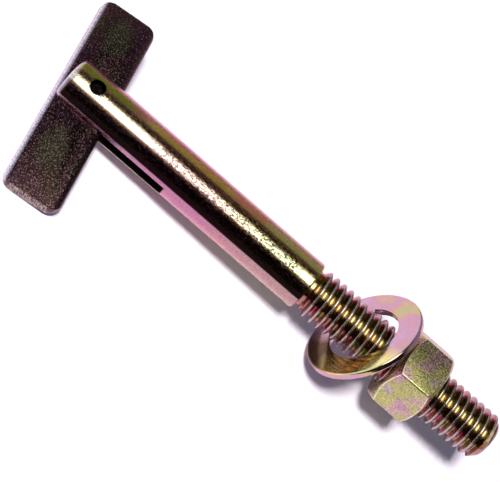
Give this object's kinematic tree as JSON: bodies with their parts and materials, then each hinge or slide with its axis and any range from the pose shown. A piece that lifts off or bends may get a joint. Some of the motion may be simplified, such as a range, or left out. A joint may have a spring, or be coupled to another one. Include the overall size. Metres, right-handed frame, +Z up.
{
  "type": "hollow wall anchor",
  "caption": "Gravity toggle bolt for hollow walls: a slotted, threaded stud with a bar pivoting in its slot, a loose washer and a hex nut, lying at rest on its side.",
  "frame": {"origin": "on the table, under the middle of the whole set's bounding box as it lies at rest", "axes": "+X runs along the stud as seen from above, from the slotted end towards the nut and the free end; +Z is up from the table; +Y is to the left of +X, on the side of the bar's short half"},
  "size_m": [0.1006, 0.04, 0.0187],
  "materials": {
    "yellow_zinc_steel": "bright yellow chromate over zinc plate",
    "plain_pin_steel": "plain drawn steel"
  },
  "bodies": {
    "stud": {"stud": "yellow_zinc_steel", "pivot_pin": "plain_pin_steel"},
    "toggle": {"toggle_bar": "yellow_zinc_steel"},
    "washer": {"washer": "yellow_zinc_steel"},
    "nut": {"hex_nut": "yellow_zinc_steel"}
  },
  "joints": [
    {"name": "toggle_pivot", "type": "hinge", "parent": "stud", "child": "toggle", "pos_m": [-0.04031, 0.00218, 0.00501], "axis": [-0.0682, -0.1729, 0.9826], "range_deg": [-248, 50]},
    {"name": "washer_slide", "type": "slide", "parent": "stud", "child": "washer", "axis": [0.9976, 0, 0.0692], "range_m": [-0.0175, 0.0131]},
    {"name": "nut_spin", "type": "hinge", "parent": "washer", "child": "nut", "pos_m": [0.02853, 0.00218, 0.00979], "axis": [0.9976, 0, 0.0692], "range_deg": [-3979, 2981]}
  ],
  "couplings": [
    {"joint": "nut_spin", "follows": "washer_slide", "rad_per_m": 3957.9}
  ]
}
